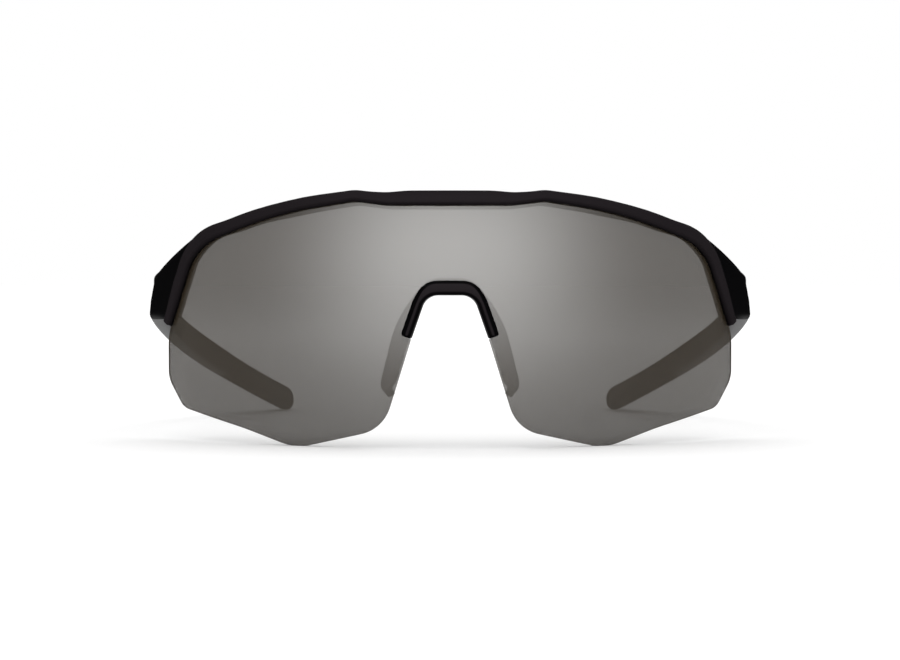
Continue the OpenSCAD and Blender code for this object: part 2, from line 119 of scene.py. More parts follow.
def arc_corner(a, b, c, r, n):
    """The corner b between a and c, rounded to r with n steps."""
    u, v = (a - b).normalized(), (c - b).normalized()
    if (u + v).length < 1e-5:
        return [b - u * (0.01 * (i - n / 2)) for i in range(n + 1)]
    half = math.acos(max(-1, min(1, u.dot(v)))) / 2
    centre = b + (u + v).normalized() * (r / math.sin(half))
    p = b + u * (r / math.tan(half)) - centre
    q = b + v * (r / math.tan(half)) - centre
    turn = math.atan2(p.x * q.y - p.y * q.x, p.dot(q))
    start = math.atan2(p.y, p.x)
    n = n or max(1, math.ceil(math.degrees(abs(turn)) / 3))
    return [
        centre + r * Vector((math.cos(start + turn * i / n), math.sin(start + turn * i / n)))
        for i in range(n + 1)
    ]


def rounded(path, n=0, closed=False):
    """An outline of [across, up, corner radius] as points."""
    flat = [Vector(p[:2]) for p in path]
    out = []
    for i, p in enumerate(path):
        end = not closed and i in (0, len(path) - 1)
        if end or p[2] == 0:
            out.append(flat[i])
        else:
            out += arc_corner(flat[i - 1], flat[i], flat[(i + 1) % len(path)], p[2], n)
    return out


class Edge:
    """A line walked by distance from its start, both ways from the middle of the glasses."""

    def __init__(self, path):
        self.path = path
        self.sums = [0]
        for a, b in zip(path, path[1:]):
            self.sums.append(self.sums[-1] + (b - a).length)

    def at(self, s):
        far = abs(s)
        i = 0
        while i < len(self.path) - 2 and far > self.sums[i + 1]:
            i += 1
        step = self.sums[i + 1] - self.sums[i]
        p = self.path[i].lerp(self.path[i + 1], (far - self.sums[i]) / step)
        return Vector((math.copysign(1, s) * p.x, p.y))

    def down_to(self, z):
        """The distance along it at which it first comes down to z."""
        for i in range(1, len(self.path)):
            if self.path[i].y <= z:
                t = (self.path[i - 1].y - z) / (self.path[i - 1].y - self.path[i].y)
                return mix(self.sums[i - 1], self.sums[i], t)


def lens_y(x, z, off=0):
    """How far back the lens is at a place in the front view; off is the distance outside its middle."""
    round_r = WRAP_R - RISE_R + math.sqrt((RISE_R - MID_T + off) ** 2 - (z - BELLY_Z) ** 2)
    return WRAP_R - math.sqrt(round_r**2 - x * x)


def on_lens(p):
    return Vector((p.x, lens_y(p.x, p.y), p.y))


def lens_normal(p):
    """Straight out of the front of the lens."""
    d = 0.1
    across = on_lens(p + Vector((d, 0))) - on_lens(p - Vector((d, 0)))
    up = on_lens(p + Vector((0, d))) - on_lens(p - Vector((0, d)))
    return across.cross(up).normalized()


def beside(edge, s, b, n, side=1):
    """A point beside an edge of the lens: b along the lens's surface away from it, n in front of it."""
    reach = 0.7
    p = edge.at(s)
    normal = lens_normal(p)
    along = (on_lens(edge.at(s + reach)) - on_lens(edge.at(s - reach))).normalized()
    return on_lens(p) + normal.cross(along) * (b * side) + normal * n


def slant(edge, s, side=1):
    """The lens's edge is cut straight back, so what holds it slants across."""
    here = beside(edge, s, 0, 0)
    return -GROOVE * (beside(edge, s, 1, 0, side) - here).y / (beside(edge, s, 0, 1) - here).y


lens_edge = Edge(
    rounded(
        [
            (0, LENS_H, 0),
            (13.5, LENS_H, 20),
            (20.8, LENS_H + 0.95, 9),
            (38, LENS_H - 1.6, 90),
            (HALF_W - 7.6, LENS_H - 9.2, 14),
            (HALF_W, 24.5, 15),
            (HALF_W + 0.15, 14.2, 7),
            (HALF_W - 3.7, 7.6, 3.5),
            (LOBE_X + 12, 3.55, 60),
            (LOBE_X, -0.55, 12),
            (NOTCH_FOOT, 4.2, 9),
            (NOTCH_FOOT - 6.3, LEG_Z - 0.3, 0.3),
            (NOTCH_FOOT - 5.4, LEG_Z, 0.3),
            (NOTCH_TOP, NOTCH_H, 4.6),
            (0, NOTCH_H, 0),
        ]
    )
)
notch_edge = Edge(
    rounded(
        [
            (0, NOTCH_H, 0),
            (NOTCH_TOP, NOTCH_H, 4.6),
            (NOTCH_FOOT - 5.4, LEG_Z, 0),
            (NOTCH_FOOT + 0.9, 4.2, 0),
        ]
    )
)
RIM_END = lens_edge.down_to(RIM_END_Z)
RIM_FOOT = RIM_END - 0.15
SIDE_TOP = lens_edge.down_to(LENS_H - 8) + 2
CLIP_END = notch_edge.down_to(LEG_Z + FIT + 0.05)
PIN_Y = lens_y(HALF_W, RIM_END_Z) + HINGE_BACK
FACE_X = HINGE_W / 2 - TEMPLE_T
TEMPLE_FOOT = RIM_END_Z + 0.3
SLEEVE = TEMPLE_L - TIP_L

# the frame's origin is the middle of the footprint: the hinge tells how far back that is
hinge_place = Vector(frame["joints"][0]["pos_m"])
BACK = hinge_place.y * 1000 - PIN_Y
PIN = Vector((hinge_place.x * 1000, PIN_Y, hinge_place.z * 1000))


def place(p):
    """From millimetres behind the lens to the frame's metres."""
    return Vector((p.x, p.y + BACK, p.z)) / 1000


# ---- handling pieces
def let_go():
    """Back in object mode, with nothing selected."""
    if bpy.context.object and bpy.context.object.mode == "EDIT":
        bpy.ops.object.mode_set(mode="OBJECT")
    bpy.ops.object.select_all(action="DESELECT")


def take(piece):
    let_go()
    piece.select_set(True)
    bpy.context.view_layer.objects.active = piece


def called(name):
    piece = bpy.context.object
    piece.name = piece.data.name = name
    return piece


def fix(piece, kind, **settings):
    """Adds a modifier with these settings and applies it."""
    take(piece)
    bpy.ops.object.modifier_add(type=kind)
    modifier = piece.modifiers[-1]
    for key, value in settings.items():
        setattr(modifier, key, value)
    bpy.ops.object.modifier_apply(modifier=modifier.name)


def face_outwards(piece):
    """In edit mode: all faces point out of the solid."""
    bpy.ops.mesh.select_all(action="SELECT")
    bpy.ops.mesh.normals_make_consistent(inside=False)
    if bmesh.from_edit_mesh(piece.data).calc_volume(signed=True) < 0:
        bpy.ops.mesh.flip_normals()


def recalculate(piece):
    take(piece)
    bpy.ops.object.mode_set(mode="EDIT")
    bpy.ops.mesh.select_all(action="SELECT")
    bpy.ops.mesh.remove_doubles(threshold=MERGE)
    face_outwards(piece)
    bpy.ops.object.mode_set(mode="OBJECT")


def smooth(piece, degrees=35):
    take(piece)
    bpy.ops.object.shade_smooth_by_angle(angle=math.radians(degrees))


def throw_away(piece):
    bpy.data.objects.remove(piece)


def cut(piece, tool, operation="DIFFERENCE"):
    solver = "MANIFOLD" if operation == "UNION" else "EXACT"
    fix(piece, "BOOLEAN", object=tool, operation=operation, solver=solver)
    throw_away(tool)


def other_side(piece, name):
    """A copy with its own mesh, mirrored to the wearer's other side."""
    take(piece)
    bpy.ops.object.duplicate(linked=False)
    bpy.ops.object.mode_set(mode="EDIT")
    bpy.ops.mesh.select_all(action="SELECT")
    bpy.ops.transform.mirror(constraint_axis=(True, False, False), center_override=(0, 0, 0))
    face_outwards(bpy.context.object)
    bpy.ops.object.mode_set(mode="OBJECT")
    return called(name)


def sweep(name, rings):
    """A ring at the first section is drawn out through all the others, and both ends are closed."""
    let_go()
    count = len(rings[0])
    bpy.ops.mesh.primitive_circle_add(vertices=count, radius=0.01)
    piece = called(name)
    bpy.ops.object.mode_set(mode="EDIT")
    shape = bmesh.from_edit_mesh(piece.data)
    shape.verts.ensure_lookup_table()
    row = list(range(count))
    for i, p in zip(row, rings[0]):
        shape.verts[i].co = place(p)
    for ring in rings[1:]:
        bpy.ops.mesh.extrude_region_move()
        shape = bmesh.from_edit_mesh(piece.data)
        shape.verts.ensure_lookup_table()
        nexts = []
        for i, p in zip(row, ring):
            v = shape.verts[i]
            new = next(e.other_vert(v) for e in v.link_edges if e.other_vert(v).select)
            new.co = place(p)
            nexts.append(new)
        shape.verts.index_update()
        row = [v.index for v in nexts]
    bpy.ops.mesh.edge_face_add()
    bpy.ops.mesh.select_all(action="DESELECT")
    shape = bmesh.from_edit_mesh(piece.data)
    shape.verts.ensure_lookup_table()
    for i in range(count):
        shape.verts[i].select = True
    shape.select_flush(True)
    bpy.ops.mesh.edge_face_add()
    face_outwards(piece)
    bpy.ops.object.mode_set(mode="OBJECT")
    return piece


def block(name, low, high):
    """A box between two corners, in the frame's metres."""
    let_go()
    low, high = Vector(low), Vector(high)
    bpy.ops.mesh.primitive_cube_add(size=1, location=(low + high) / 2, scale=high - low)
    bpy.ops.object.transform_apply(location=True, rotation=True, scale=True)
    return called(name)


# ---- lens
def make_lens():
    """An arc is spun round the wearer's head, given its thickness and cut to the lens's outline."""
    let_go()
    half_rise = 0.0325
    half_sweep = math.radians(62)
    middle = Vector((0, RISE_R, BELLY_Z))
    bpy.ops.mesh.primitive_circle_add(
        vertices=720,
        radius=RISE_R / 1000 - MID_T / 1000,
        location=place(middle),
        rotation=(0, math.radians(90), 0),
    )
    shell = called("shield")
    bpy.ops.object.transform_apply(location=True, rotation=True, scale=True)
    bpy.ops.object.mode_set(mode="EDIT")
    shape = bmesh.from_edit_mesh(shell.data)
    for v in shape.verts:
        v.select = v.co.y > place(middle).y or abs(v.co.z - BELLY_Z / 1000) > half_rise
    shape.select_flush(True)
    bpy.ops.mesh.delete(type="VERT")
    bpy.ops.mesh.select_all(action="SELECT")
    axis_place = place(Vector((0, WRAP_R, 0)))
    bpy.ops.transform.rotate(value=half_sweep, orient_axis="Z", center_override=axis_place)
    shape = bmesh.from_edit_mesh(shell.data)
    # the spin goes back across the face from the side that the arc was turned to
    way = -1 if sum(v.co.x for v in shape.verts) < 0 else 1
    bpy.ops.mesh.spin(steps=124, angle=way * 2 * half_sweep, center=axis_place, axis=(0, 0, 1))
    bpy.ops.mesh.select_all(action="SELECT")
    bpy.ops.mesh.remove_doubles(threshold=MERGE)
    bpy.ops.mesh.normals_make_consistent(inside=False)
    bpy.ops.object.mode_set(mode="OBJECT")
    fix(shell, "SOLIDIFY", thickness=2 * MID_T / 1000, offset=0, use_even_offset=True)

    half = lens_edge.path
    outline = half + [Vector((-p.x, p.y)) for p in reversed(half[1:-1])]
    front = [Vector((p.x, -5, p.y)) for p in outline]
    back = [Vector((p.x, 50, p.y)) for p in outline]
    pattern = sweep("pattern", [front, back])
    cut(shell, pattern, "INTERSECT")
    # the lobes stand flat on the floor
    under = block("under", place(Vector((-90, -20, -10))), place(Vector((90, 70, 0))))
    cut(shell, under)
    recalculate(shell)
    fix(shell, "BEVEL", width=0.0004, segments=2, limit_method="ANGLE", angle_limit=math.radians(50))
    smooth(shell, 40)
    return shell


# ---- brow frame
def rim_section(s):
    """The brow's section: a groove for the lens, a ridge in front (its forward faces get a painted
    highlight colour) and a lip behind.
    """
    share = abs(s) / RIM_END
    crest = [(0.1, 1.5), (0.24, 0.75), (0.43, 1), (0.62, 1.3), (0.74, 1.8), (0.87, 1.55), (1, 0.85)]
    out = eased(crest, share)
    back = eased([(0.43, REAR_LIP), (0.6, 1.2), (0.74, 0.3), (0.9, SIDE_LIP)], share)
    lip = eased([(0.1, 0.4), (0.35, 0.55), (0.7, 0.55)], share)
    lean = slant(lens_edge, s)
    floor_back, floor_front = 2 * FIT + lean, 2 * FIT - lean
    corners = [
        (-FRONT_LIP, GROOVE, 0.08),
        (-FRONT_LIP, GROOVE + 0.45, 0.12),
        (-FRONT_LIP + lip, FRONT_N - 0.15, 0.4),
        (mix(-FRONT_LIP + lip, out, 0.5), FRONT_N, 3),
        (out - 0.3, FRONT_N - 0.1, 0.45),
        (out, FRONT_N - 0.9, 0.5),
        (out, REAR_N, 0.6),
        (-back, REAR_N, 0.3),
        (-back, -GROOVE, 0.08),
        (floor_back, -GROOVE, 0.02),
        (floor_front, GROOVE, 0.02),
    ]
    return [beside(lens_edge, s, p.x, p.y) for p in rounded(corners, 3, closed=True)]


def side_lean(t):
    """How far the outer side leans in, from the top of the hinge (0) to its foot (1)."""
    return LEAN * (1 - t) ** 1.6 + 1.1 * max(0, 1 - 6 * t)


def end_section(w):
    """The endpiece, from the rim (0) back to the hinge (1)."""
    n = 24
    rows = []
    for i in range(n + 1):
        t = i / n
        low = max(0, t * 10 - 9) ** 2
        deep = eased([(0, -0.15), (0.3, 0.7), (1, 0.9)], t)
        a = beside(lens_edge, mix(SIDE_TOP, RIM_FOOT, t), 1.55 - deep, FRONT_N - 1 - deep)
        z = mix(TEMPLE_FOOT + TEMPLE_H, TEMPLE_FOOT, t)
        b = Vector((HINGE_W / 2 - side_lean(t) - 0.9 * low, PIN_Y - JOINT_GAP, z))
        full = Vector((1.8 * w * (1 - w) * max(0, 1 - 2 * t), 0, 0))
        rows.append(a.lerp(b, w) + full)
    for i in range(n, -1, -1):
        t = i / n
        a = beside(lens_edge, mix(SIDE_TOP, RIM_FOOT, t), 0.1, REAR_N + 0.3)
        z = mix(TEMPLE_FOOT + TEMPLE_H, TEMPLE_FOOT, t)
        rows.append(a.lerp(Vector((FACE_X - 0.6, PIN_Y - JOINT_GAP, z)), w))
    return rows


def groove_section(s):
    """What is taken out of the endpiece, so that the lens and the rim have their place."""
    room = 0.45
    lean = slant(lens_edge, s)
    return [
        beside(lens_edge, s, -6, GROOVE + room),
        beside(lens_edge, s, 2 * FIT - lean + room, GROOVE + room),
        beside(lens_edge, s, 2 * FIT + lean + room, -GROOVE - room),
        beside(lens_edge, s, -6, -GROOVE - room),
    ]


def make_brow():
    """The rim is swept along the lens, and an endpiece is joined to it on each side."""
    steps = 150
    brow = sweep("brow", [rim_section(RIM_END * i / steps) for i in range(-steps, steps + 1)])
    endpiece = sweep("endpiece", [end_section(i / 12) for i in range(13)])
    low_end = beside(lens_edge, RIM_FOOT, 0.1, REAR_N + 0.3)
    turn = math.radians(math.floor(math.degrees(math.atan2(FACE_X - low_end.x, PIN_Y - low_end.y))))
    slot = sweep("slot", [groove_section(mix(SIDE_TOP, RIM_END, i / 24)) for i in range(-6, 31)])
    cut(endpiece, slot)
    # the inside is flat where the hinge leaf lies on it, and whole above the leaf
    leaf_top = 4.35
    flat = block(
        "flat",
        place(PIN + Vector((BARREL_R + BARREL_GAP - 20, -10.6, -TEMPLE_H))),
        place(PIN + Vector((BARREL_R + BARREL_GAP, 4, leaf_top))),
    )
    take(flat)
    bpy.ops.object.mode_set(mode="EDIT")
    bpy.ops.mesh.select_all(action="SELECT")
    bpy.ops.transform.rotate(value=turn, orient_axis="Z", center_override=place(PIN))
    bpy.ops.object.mode_set(mode="OBJECT")
    cut(endpiece, flat)
    recalculate(endpiece)
    fix(endpiece, "BEVEL", width=0.0004, segments=3, limit_method="ANGLE", angle_limit=math.radians(48))
    twin = other_side(endpiece, "endpiece_left")
    cut(brow, endpiece, "UNION")
    cut(brow, twin, "UNION")
    recalculate(brow)
    smooth(brow, 38)
    return brow


# ---- temples
def arm_height(distance):
    rows = [(9, TEMPLE_H), (0.24 * TEMPLE_L, ARM_H), (0.5 * TEMPLE_L, ARM_H), (TEMPLE_L - 8, TIP_H)]
    return eased(rows, distance)


def arm_thickness(distance):
    rows = [(8, TEMPLE_T), (30, ARM_T), (TEMPLE_L - TIP_L, ARM_T), (TEMPLE_L - 12, TIP_T)]
    return eased(rows, distance)


def level_section(distance):
    """The arm's section, before the arm is tipped down to the floor."""
    nose = arm_height(TEMPLE_L) / 2
    q = max(0, (distance - TEMPLE_L + nose) / nose)
    shrink = math.sqrt(max(0.0, 1 - q * q)) * 0.97 + 0.03
    turn = distance / TEMPLE_R
    h = arm_height(distance) / 2 * shrink
    t = arm_thickness(distance) / 2 * mix(1, shrink, 0.6)
    c = min(h, t) * mix(0.55, 0.9, ease((distance - 0.5 * TEMPLE_L) / (0.3 * TEMPLE_L)))
    low = TEMPLE_FOOT - 0.19 * distance - 1.6 * (max(0, distance - 50) / 60) ** 2
    mid = Vector(
        (
            HINGE_W / 2 - TEMPLE_T / 2 - TEMPLE_R * (1 - math.cos(turn)),
            PIN_Y + TEMPLE_R * math.sin(turn),
            low + arm_height(distance) / 2,
        )
    )
    out = Vector((math.cos(turn), math.sin(turn), 0))
    # by the hinge, the outer side leans in as the endpiece's does
    tilt = max(0.003, 1 - ease(distance / 9))
    corners = [
        (-t, h, mix(c, 0.5, tilt)),
        (t - side_lean(0) * tilt, h, mix(c, 0.15, tilt)),
        (t - side_lean(0.16) * tilt, h * mix(0.3, 0.68, tilt), 1),
        (t - side_lean(0.4) * tilt, h * 0.2, 2),
        (t - side_lean(0.7) * tilt, -h * 0.3, 2),
        (t, -h, c),
        (-t, -h, c),
    ]
    return [mid + out * p.x + Vector((0, 0, 1)) * p.y for p in rounded(corners, 4, closed=True)]


tip_end = [level_section(TEMPLE_L - i * 0.2) for i in range(40)]
RAKE = min(p.z / (p.y - PIN_Y) for ring in tip_end for p in ring)


def temple_section(distance):
    """The arm's section, raked so that its sleeve rests on the floor."""
    ring = level_section(distance)
    return [Vector((p.x, p.y, p.z - RAKE * max(0, p.y - PIN_Y))) for p in ring]


def make_temple():
    """The arm, with its inside flat where the hinge leaf lies on it."""
    stations = [mix(JOINT_GAP, SLEEVE - 0.05, i / 70) for i in range(71)]
    temple = sweep("temple", [temple_section(d) for d in stations])
    cover = block(
        "cover",
        place(PIN + Vector((BARREL_R + BARREL_GAP - 10, -1, -TEMPLE_H))),
        place(PIN + Vector((BARREL_R + BARREL_GAP, 9.6, TEMPLE_H))),
    )
    cut(temple, cover)
    recalculate(temple)
    fix(temple, "BEVEL", width=0.0002, segments=2, limit_method="ANGLE", angle_limit=math.radians(60))
    smooth(temple, 38)
    return temple


def make_tip():
    """The sleeve on the arm's end."""
    stations = [mix(SLEEVE, TEMPLE_L - 3.2, i / 40) for i in range(41)]
    stations += [TEMPLE_L - 3.0 * (1 - math.sin(math.radians(a))) for a in range(4, 91, 6)]
    tip = sweep("tip", [temple_section(d) for d in stations])
    fix(tip, "BEVEL", width=0.0002, segments=2, limit_method="ANGLE", angle_limit=math.radians(60))
    smooth(tip, 38)
    return tip


# ---- nose clip and pad
def clip_section(s):
    """The clip's section: a bridge in front of the lens, a wall in the notch and a lip behind."""
    q = max(0, (abs(s) - CLIP_END + 0.7) / 0.7)
    low = 0.45 * q * q
    share = abs(s) / CLIP_END
    lap = eased([(0.2, CLIP_LAP), (0.5, LEG_LAP)], share) - low * 0.6
    bevel = eased([(0.2, 0.7), (0.5, 1.1)], share)
    front, rear = GROOVE + 1.2 - low, -GROOVE - 0.85
    lean = slant(notch_edge, s, -1)
    corners = [
        (-lap, GROOVE, 0.08),
        (-lap, GROOVE + 0.3, 0.1),
        (-lap + bevel, front, 0.3),
        (0.1, front - 0.1, 0.6),
        (CLIP_WALL, front - 0.6, 0.4),
        (CLIP_WALL, rear, 0.3),
        (-1.3, rear, 0.15),
        (-1.3, -GROOVE, 0.08),
        (FIT + lean, -GROOVE, 0.02),
        (FIT - lean, GROOVE, 0.02),
    ]
    return [beside(notch_edge, s, p.x, p.y, -1) for p in rounded(corners, 3, closed=True)]


def make_clip():
    steps = 40
    ends = [CLIP_END - e for e in (0.7, 0.55, 0.4, 0.25, 0.1, 0)]
    stations = [-e for e in reversed(ends)]
    stations += [(CLIP_END - 0.8) * i / steps for i in range(-steps, steps + 1)]
    clip = sweep("clip", [clip_section(s) for s in stations + ends])
    smooth(clip, 38)
    return clip


pad_rear_edge = Edge(
    rounded(
        [
            (0, NOTCH_H + 2.3, 0),
            (NOTCH_TOP - 1.4, NOTCH_H + 2.3, 5),
            (NOTCH_TOP + 5.7, NOTCH_H - 6.6, 25),
            (NOTCH_FOOT + 0.8, PAD_LOW - 0.2, 2.2),
            (NOTCH_FOOT - 1.3, PAD_LOW - 0.2, 0),
        ]
    )
)
PAD_END = notch_edge.down_to(PAD_LOW - 0.3)
PAD_FOOT = 0.92


def pad_edges(u):
    """The pad's front and rear edge; u is 0 in the middle and 1 or -1 at a foot."""
    front = beside(notch_edge, u * PAD_END, -0.35, -GROOVE - 1.25, -1)
    p = pad_rear_edge.at(u * pad_rear_edge.sums[-1])
    rear = Vector((p.x, lens_y(p.x, p.y, -MID_T) + PAD_REACH * (0.75 + 0.25 * abs(u)), p.y))
    return front, rear


def pad_section(u):
    """The pad's section; at the feet it draws in behind the lens and closes round."""
    front, rear = pad_edges(u)
    front = front + Vector((math.copysign(1.5 * ease((abs(u) - 0.91) / 0.09), u), 0, 0))
    mid = front.lerp(rear, 0.55)
    a, b = pad_edges(u + 0.02), pad_edges(u - 0.02)
    along = (a[0] + a[1] - b[0] - b[1]).normalized()
    half_t = along.cross((rear - front).normalized()).normalized() * (PAD_T / 2)
    q = max(0, (abs(u) - PAD_FOOT) / (1 - PAD_FOOT))
    shrink = math.sqrt(max(0.16, 1 - q * q))
    n = 10
    share = [(1 - math.cos(math.pi * i / n)) / 2 for i in range(n + 1)]
    top = [(c, min(1, 0.5 + 0.5 * math.sqrt(max(0, 1 - abs(2 * c - 1) ** 6)))) for c in share]
    ring = [mid + (front.lerp(rear, c) - mid) * shrink + half_t * h for c, h in top]
    return ring + [mid + (front.lerp(rear, c) - mid) * shrink - half_t * h for c, h in reversed(top)]


def make_pad():
    steps = 40
    ends = [mix(PAD_FOOT, 1, math.sin(math.radians(a))) for a in range(9, 91, 9)]
    stations = [-e for e in reversed(ends)]
    stations += [PAD_FOOT * i / steps for i in range(-steps, steps + 1)]
    pad = sweep("pad", [pad_section(u) for u in stations + ends])
    fix(pad, "BEVEL", width=0.0003, segments=3, limit_method="ANGLE", angle_limit=math.radians(50))
    smooth(pad, 50)
    return pad


# ---- finishes
def painted_highlight_share(piece, low, high, turn):
    """Marks where the plastic gets a painted highlight, a lighter copy of its black, as if lit from the
    front: where it stands forward and looks straight out. Elsewhere the darker copy is painted shade.
    """
    mark = piece.data.attributes.new("painted_highlight", "FLOAT", "POINT")
    for v in piece.data.vertices:
        p = Vector((v.co.x * 1000, v.co.z * 1000))
        ahead = (lens_y(p.x, p.y) - v.co.y * 1000 + BACK) * -lens_normal(p).y
        facing = v.normal.dot(lens_normal(p))
        mark.data[v.index].value = ease((ahead - low) / (high - low)) * ease((facing - turn) / 0.12)


def set_sockets(node, **sockets):
    for key, value in sockets.items():
        node.inputs[key.replace("_", " ")].default_value = value


def drifting(name, colour, drift, roughness, change, scale, detail):
    """A material whose colour and gloss drift a little over the piece."""
    material = bpy.data.materials.new(name)
    material.use_nodes = True
    nodes, links = material.node_tree.nodes, material.node_tree.links
    shader = nodes["Principled BSDF"]
    spot = nodes.new("ShaderNodeTexCoord")
    broad = nodes.new("ShaderNodeTexNoise")
    set_sockets(broad, Scale=scale, Detail=detail)
    tint = nodes.new("ShaderNodeMix")
    tint.data_type = "RGBA"
    dark = [c * (1 - drift) for c in colour]
    light = [min(1, c * (1 + drift)) for c in colour]
    set_sockets(tint, A=(*dark, 1), B=(*light, 1))
    gloss = nodes.new("ShaderNodeMapRange")
    set_sockets(gloss, To_Min=roughness - change, To_Max=roughness + change)
    links.new(spot.outputs["Object"], broad.inputs["Vector"])
    links.new(broad.outputs["Fac"], tint.inputs["Factor"])
    links.new(broad.outputs["Fac"], gloss.inputs["Value"])
    links.new(gloss.outputs["Result"], shader.inputs["Roughness"])
    links.new(tint.outputs["Result"], shader.inputs["Base Color"])
    return material, shader, spot, tint


def finish_material(name, colour, roughness, grain, depth, painted_shade=None, **sockets):
    """A moulded or rubbed surface with fine grain. When a second, darker colour is given, it is painted
    shade on turned-away faces, and the lighter colour is a painted highlight on faces marked as standing
    forward.
    """
    material, shader, spot, tint = drifting(name, colour, 0.12, roughness, 0.05, 60, 3)
    nodes, links = material.node_tree.nodes, material.node_tree.links
    set_sockets(shader, **sockets)
    fine = nodes.new("ShaderNodeTexNoise")
    set_sockets(fine, Scale=grain, Detail=4)
    bump = nodes.new("ShaderNodeBump")
    set_sockets(bump, Strength=0.35, Distance=depth)
    links.new(spot.outputs["Object"], fine.inputs["Vector"])
    links.new(fine.outputs["Fac"], bump.inputs["Height"])
    links.new(bump.outputs["Normal"], shader.inputs["Normal"])
    # lit and shaded copies of one black: the mark mixes the painted highlight colour with the painted
    # shade colour
    if painted_shade:
        share = nodes.new("ShaderNodeAttribute")
        share.attribute_name = "painted_highlight"
        both = nodes.new("ShaderNodeMix")
        both.data_type = "RGBA"
        set_sockets(both, A=(*painted_shade, 1))
        links.new(share.outputs["Fac"], both.inputs["Factor"])
        links.new(tint.outputs["Result"], both.inputs["B"])
        links.new(both.outputs["Result"], shader.inputs["Base Color"])
    return material


def lens_material(name, colour, roughness, alpha, level):
    """Tinted polycarbonate under a hard coat: most of its light is reflected or let through."""
    material, shader, _, _ = drifting(name, colour, 0.1, roughness, 0.015, 25, 2)
    set_sockets(shader, Alpha=alpha, Specular_IOR_Level=level)
    return material


BLACK = (0.0012, 0.001, 0.0014)
# a lighter copy of the black, painted on forward faces of the brow and clip as a painted highlight
PAINTED_LIT_BLACK = (0.016, 0.013, 0.0148)
frame_black = finish_material("frame_black", PAINTED_LIT_BLACK, 0.42, 9000, 0.00001, BLACK, Specular_IOR_Level=0.025)
temple_black = finish_material("temple_black", BLACK, 0.3, 9000, 0.00001, Specular_IOR_Level=0.2)
clip_black = finish_material("clip_black", PAINTED_LIT_BLACK, 0.38, 9000, 0.00001, BLACK, Specular_IOR_Level=0.03)
PAD_GREY = (0.03, 0.03, 0.032)
TIP_BLACK = (0.004, 0.0036, 0.0036)
pad_rubber = finish_material("pad_rubber", PAD_GREY, 0.7, 4000, 0.00002, Specular_IOR_Level=0.1)
tip_rubber = finish_material("tip_rubber", TIP_BLACK, 0.7, 4000, 0.00002, Specular_IOR_Level=0.1)
steel = finish_material("hinge_steel", (0.55, 0.55, 0.56), 0.32, 3000, 0.000008, Metallic=1.0)
screw_steel = finish_material("screw_steel", (0.6, 0.6, 0.61), 0.28, 5000, 0.000006, Metallic=1.0)
washer_steel = finish_material("washer_steel", (0.45, 0.45, 0.46), 0.4, 5000, 0.000006, Metallic=1.0)


tinted = lens_material("tinted_lens", (0.058, 0.045, 0.03), 0.14, 0.7, 1.0)
lens_rim = lens_material("lens_edge", (0.03, 0.022, 0.017), 0.35, 0.97, 0.1)


def dress(piece, material, body, slot, *nodes):
    piece.data.materials.clear()
    piece.data.materials.append(material)
    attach(piece, body)
    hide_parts(*nodes)


lens = make_lens()
brow = make_brow()
clip = make_clip()
pad = make_pad()
right_temple = make_temple()
right_tip = make_tip()
left_temple = other_side(right_temple, "temple_left")
left_tip = other_side(right_tip, "tip_left")
# the brow's and clip's forward faces are painted lighter, as a painted highlight; the rest is painted
# shade
painted_highlight_share(brow, FRONT_N - 1.3, FRONT_N - 0.5, -2)
painted_highlight_share(clip, GROOVE, GROOVE + 0.4, 0.82)
dress(lens, tinted, "front", "lens", "shield_lens")
lens.data.materials.append(lens_rim)
# the lens's narrow edge is darker than its two faces
for face in lens.data.polygons:
    middle = face.center * 1000
    if abs(face.normal.dot(lens_normal(Vector((middle.x, middle.z))))) < 0.93:
        face.material_index = 1
dress(brow, frame_black, "front", "frame_plastic", "brow_frame")
dress(clip, clip_black, "front", "clip_plastic", "nose_clip")
dress(pad, pad_rubber, "front", "pad_rubber", "nose_pad")
for side, temple, tip in (("right", right_temple, right_tip), ("left", left_temple, left_tip)):
    dress(temple, temple_black, side + "_temple", "frame_plastic", side + "_temple")
    dress(tip, tip_rubber, side + "_temple", "tip_rubber", side + "_temple_tip")
# the hinges keep their own shapes and get their metals
for name, node in frame["nodes"].items():
    metal = screw_steel
    if name.endswith("leaf"):
        metal = steel
    elif name.endswith("washers"):
        metal = washer_steel
    if "hinge" in name or "screw" in name:
        node.data.materials.clear()
        node.data.materials.append(metal)

# ---- floor, backdrop and light
let_go()
bpy.ops.mesh.primitive_plane_add(size=8, location=(0, 0, -0.00002))
floor = called("floor")


